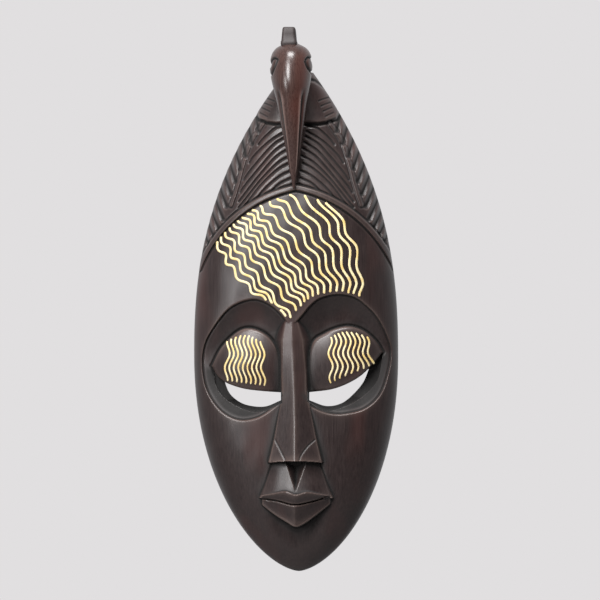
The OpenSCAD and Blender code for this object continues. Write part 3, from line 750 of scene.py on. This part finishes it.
comb_rings = []
for rise, wide_r, deep_r in [(-3, 6.6, 11), (-0.6, 7.2, 12), (1.6, 7.0, 12), (2.2, 6.6, 11.4),
                             (8, 6.1, 11.4), (12.4, 5.6, 11.3), (13.6, 5.2, 10.6), (14, 4.4, 9.6)]:
    a = np.linspace(0, 2 * math.pi, 64, endpoint=False)
    c, s = np.cos(a), np.sin(a)
    reach = (np.abs(c) ** 7 + np.abs(s) ** 7) ** (-1 / 7)
    comb_rings.append(row_point(-4.4 + wide_r * reach * s, 54 + deep_r * reach * c,
                                np.full(64, HEAD_TOP + rise)))
comb = loft("comb", comb_rings)
comb.data.materials.append(stained_hardwood("dull_dark_hardwood", "#1f1717", "#302625", "#5a4c48",
                                            "#3e2522", 0.5))
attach(comb, "root")
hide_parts("bird_comb")

# ---- Dowel -------------------------------------------------------------------
# A plain turned hardwood peg, hidden in the neck and the block.

raw_dowel = bpy.data.materials.new("turned_birch")
raw_dowel.use_nodes = True
tree = raw_dowel.node_tree
place = add(tree, "ShaderNodeTexCoord")
# streaks 1 mm wide and 25 mm long
streaks = add(tree, "ShaderNodeMapping", Vector=(place, "Object"), Scale=(1000, 1000, 40))
grain = add(tree, "ShaderNodeTexNoise", Vector=(streaks, 0), Scale=1.0, Detail=4.0)
tone = add(tree, "ShaderNodeValToRGB", Fac=(grain, 0))
tone.color_ramp.elements[0].color = linear("#9c7a52")
tone.color_ramp.elements[1].color = linear("#c8a878")
tree.links.new(tone.outputs[0], tree.nodes["Principled BSDF"].inputs["Base Color"])
tree.nodes["Principled BSDF"].inputs["Roughness"].default_value = 0.6
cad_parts["head_dowel"].data.materials.clear()
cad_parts["head_dowel"].data.materials.append(raw_dowel)

# ---- Hanger ------------------------------------------------------------------
# A stamped zinc-plated keyhole plate let into the back of the crown and held by two
# countersunk wood screws; it hangs on a screw in the wall.

zinc = bpy.data.materials.new("zinc_plated_steel")
zinc.use_nodes = True
tree = zinc.node_tree
place = add(tree, "ShaderNodeTexCoord")
# zinc spangle about 3 mm across, and rolling lines 0.4 mm apart
spangle = add(tree, "ShaderNodeTexVoronoi", Vector=(place, "Object"), Scale=330.0)
lines = add(tree, "ShaderNodeMapping", Vector=(place, "Object"), Scale=(120, 120, 2500))
rolled = add(tree, "ShaderNodeTexNoise", Vector=(lines, 0), Scale=1.0, Detail=3.0)
tone = add(tree, "ShaderNodeValToRGB", Fac=(spangle, "Distance"))
tone.color_ramp.elements[0].color = linear("#b9bcbd")
tone.color_ramp.elements[1].color = linear("#9da1a3")
tree.links.new(tone.outputs[0], tree.nodes["Principled BSDF"].inputs["Base Color"])
gloss = add(tree, "ShaderNodeMapRange", Value=(rolled, 0))
gloss.inputs[3].default_value, gloss.inputs[4].default_value = 0.32, 0.5
tree.links.new(gloss.outputs[0], tree.nodes["Principled BSDF"].inputs["Roughness"])
tree.nodes["Principled BSDF"].inputs["Metallic"].default_value = 1.0
for node in ("hanger_plate", "hanger_screws"):
    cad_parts[node].data.materials.clear()
    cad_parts[node].data.materials.append(zinc)

# ---- Studio ------------------------------------------------------------------
# A pale floor below the chin, a soft key light in front and to the left, a low side
# light for the cheek, a top light, and a pale surround that lights the edges.

floor = loft("floor", [np.array([(1.6 * math.cos(a), 1.6 * math.sin(a), z)
                                 for a in np.linspace(0, 2 * math.pi, 96, endpoint=False)])
                       for z in (-1.02, -1.0)])
paint = bpy.data.materials.new("pale_paint")
paint.use_nodes = True
paint.node_tree.nodes["Principled BSDF"].inputs["Base Color"].default_value = linear("#8c8a8a")
paint.node_tree.nodes["Principled BSDF"].inputs["Roughness"].default_value = 0.9
floor.data.materials.append(paint)

world = bpy.data.worlds.new("studio")
bpy.context.scene.world = world
world.use_nodes = True
tree = world.node_tree
tree.nodes.clear()
ray = add(tree, "ShaderNodeLightPath")
place = add(tree, "ShaderNodeTexCoord")
split = add(tree, "ShaderNodeSeparateXYZ", Vector=(place, "Generated"))
behind = add(tree, "ShaderNodeMapRange", Value=(split, 1))
behind.inputs[1].default_value, behind.inputs[2].default_value = -0.5, 0.5
behind.inputs[3].default_value, behind.inputs[4].default_value = 0.045, 0.75
seen = add(tree, "ShaderNodeBackground", Color=linear("#e1dfe0"), Strength=1.0)
lit = add(tree, "ShaderNodeBackground", Color=linear("#f4f4f6"), Strength=(behind, 0))
both = add(tree, "ShaderNodeMixShader", _0=(ray, "Is Camera Ray"), _1=(lit, 0), _2=(seen, 0))
add(tree, "ShaderNodeOutputWorld", Surface=(both, 0))

centre = Vector((0.0035, -0.010, 239 * MM - HOLE_HEIGHT * MM))
for name, spot, width, height, power in (("key", (-0.5, -1.6, 0.85), 0.5, 0.8, 36),
                                         ("side", (-1.15, -1.4, 0.1), 0.22, 0.7, 12),
                                         ("top", (0.0, -0.85, 1.6), 0.9, 0.5, 42)):
    lamp = bpy.data.lights.new(name, "AREA")
    lamp.shape = "RECTANGLE"
    lamp.size, lamp.size_y, lamp.energy = width, height, power
    light = bpy.data.objects.new(name, lamp)
    bpy.context.scene.collection.objects.link(light)
    light.location = Vector(spot) + centre
    light.rotation_euler = (centre - light.location).to_track_quat("-Z", "Y").to_euler()

lens = bpy.data.cameras.new("camera")
camera = bpy.data.objects.new("camera", lens)
bpy.context.scene.collection.objects.link(camera)
bpy.context.scene.camera = camera
DISTANCE, SEEN_WIDTH, SIDE_STEP = 3.2, 0.5294, math.radians(2)
camera.location = centre + DISTANCE * Vector((math.sin(SIDE_STEP), -math.cos(SIDE_STEP), 0))
camera.rotation_euler = (centre - camera.location).to_track_quat("-Z", "Y").to_euler()
lens.sensor_width = 36
lens.lens = lens.sensor_width * DISTANCE / SEEN_WIDTH
bpy.context.scene.view_settings.view_transform = "Standard"
